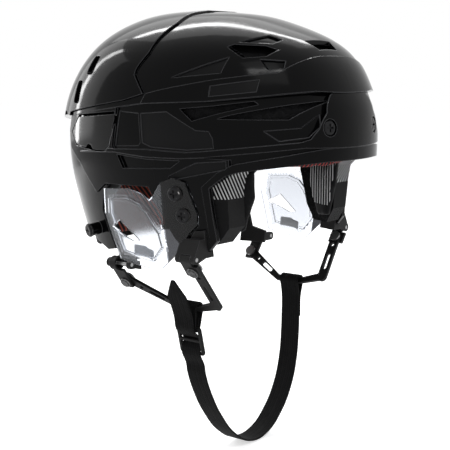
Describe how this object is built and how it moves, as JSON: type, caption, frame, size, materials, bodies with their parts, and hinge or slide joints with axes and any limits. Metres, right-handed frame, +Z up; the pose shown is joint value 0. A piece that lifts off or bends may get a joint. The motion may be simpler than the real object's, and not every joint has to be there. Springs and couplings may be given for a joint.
{
  "type": "ice hockey helmet",
  "caption": "Ice hockey helmet with sliding size adjustment, flip-up latches, clear ear guards and a webbing chin strap.",
  "frame": {"origin": "on the symmetry plane, mid length of the head opening, at the height of the brow edge of the front shell", "axes": "+Z up, the wearer faces -Y, +X is the wearer's left"},
  "size_m": [0.2168, 0.2665, 0.3526],
  "materials": {
    "shell_gloss": "glossy black moulded shell with satin recessed panels",
    "latch_gloss": "glossy black",
    "liner_foam": "black expanded foam",
    "pad_cover": "striped knit over foam",
    "cushion_foam": "pale grey soft rubber foam",
    "clear_guard": "clear polycarbonate with a slight grey tint",
    "black_screw": "black coated steel",
    "brass_nut": "plain brass",
    "black_nylon": "matte black moulding",
    "dark_steel": "black coated steel",
    "webbing": "black woven webbing"
  },
  "bodies": {
    "front_half": {"front_shell": "shell_gloss", "front_liner": "liner_foam", "brow_pad": "pad_cover", "front_crown_pad": "pad_cover", "temple_pad_left": "pad_cover", "temple_pad_right": "pad_cover", "ear_guard_left": "clear_guard", "ear_guard_right": "clear_guard", "guard_cushion_left": "cushion_foam", "guard_cushion_right": "cushion_foam", "temple_screws": "black_screw", "temple_nuts": "brass_nut", "brow_screws": "black_screw", "brow_nuts": "brass_nut", "latch_pins": "dark_steel", "front_hanger_left": "black_nylon", "front_hanger_right": "black_nylon", "front_hanger_pins": "dark_steel"},
    "rear_half": {"rear_shell": "shell_gloss", "rear_liner": "liner_foam", "rear_crown_pad": "pad_cover", "nape_pad": "pad_cover", "rear_screws": "black_screw", "rear_nuts": "brass_nut", "ear_rail_left": "black_nylon", "ear_rail_right": "black_nylon", "rear_hanger_pins": "dark_steel"},
    "latch_left": {"latch_flap_left": "latch_gloss"},
    "latch_right": {"latch_flap_right": "latch_gloss"},
    "loop_left": {"front_tab_left": "black_nylon", "v_loop_left": "black_nylon", "rear_tab_left": "black_nylon", "loop_rivets_left": "dark_steel"},
    "loop_right": {"front_tab_right": "black_nylon", "v_loop_right": "black_nylon", "rear_tab_right": "black_nylon", "loop_rivets_right": "dark_steel"},
    "strap": {"chin_webbing": "webbing", "link_strap": "webbing", "strap_buckle": "black_nylon"}
  },
  "joints": [
    {"name": "size_slide", "type": "slide", "parent": "front_half", "child": "rear_half", "axis": [0, 1, 0], "range_m": [0, 0.01]},
    {"name": "latch_left_hinge", "type": "hinge", "parent": "front_half", "child": "latch_left", "pos_m": [0.1053, 0.01394, 0.03305], "axis": [0.2093, -0.9746, 0.0794], "range_deg": [0, 50]},
    {"name": "latch_right_hinge", "type": "hinge", "parent": "front_half", "child": "latch_right", "pos_m": [-0.1053, 0.01394, 0.03305], "axis": [0.2093, 0.9746, -0.0794], "range_deg": [0, 50]},
    {"name": "loop_left_swing", "type": "hinge", "parent": "front_half", "child": "loop_left", "pos_m": [0.102, 0, -0.069], "axis": [0, 1, 0], "range_deg": [-4, 4]},
    {"name": "loop_right_swing", "type": "hinge", "parent": "front_half", "child": "loop_right", "pos_m": [-0.102, 0, -0.069], "axis": [0, 1, 0], "range_deg": [-4.01, 4.01]},
    {"name": "strap_swing", "type": "hinge", "parent": "loop_left", "child": "strap", "pos_m": [0.06838, 0, -0.11378], "axis": [0, 1, 0], "range_deg": [-5.98, 5.98]}
  ],
  "couplings": [
    {"joint": "loop_right_swing", "follows": "loop_left_swing", "ratio": 1},
    {"joint": "strap_swing", "follows": "loop_left_swing", "ratio": -1.491}
  ]
}
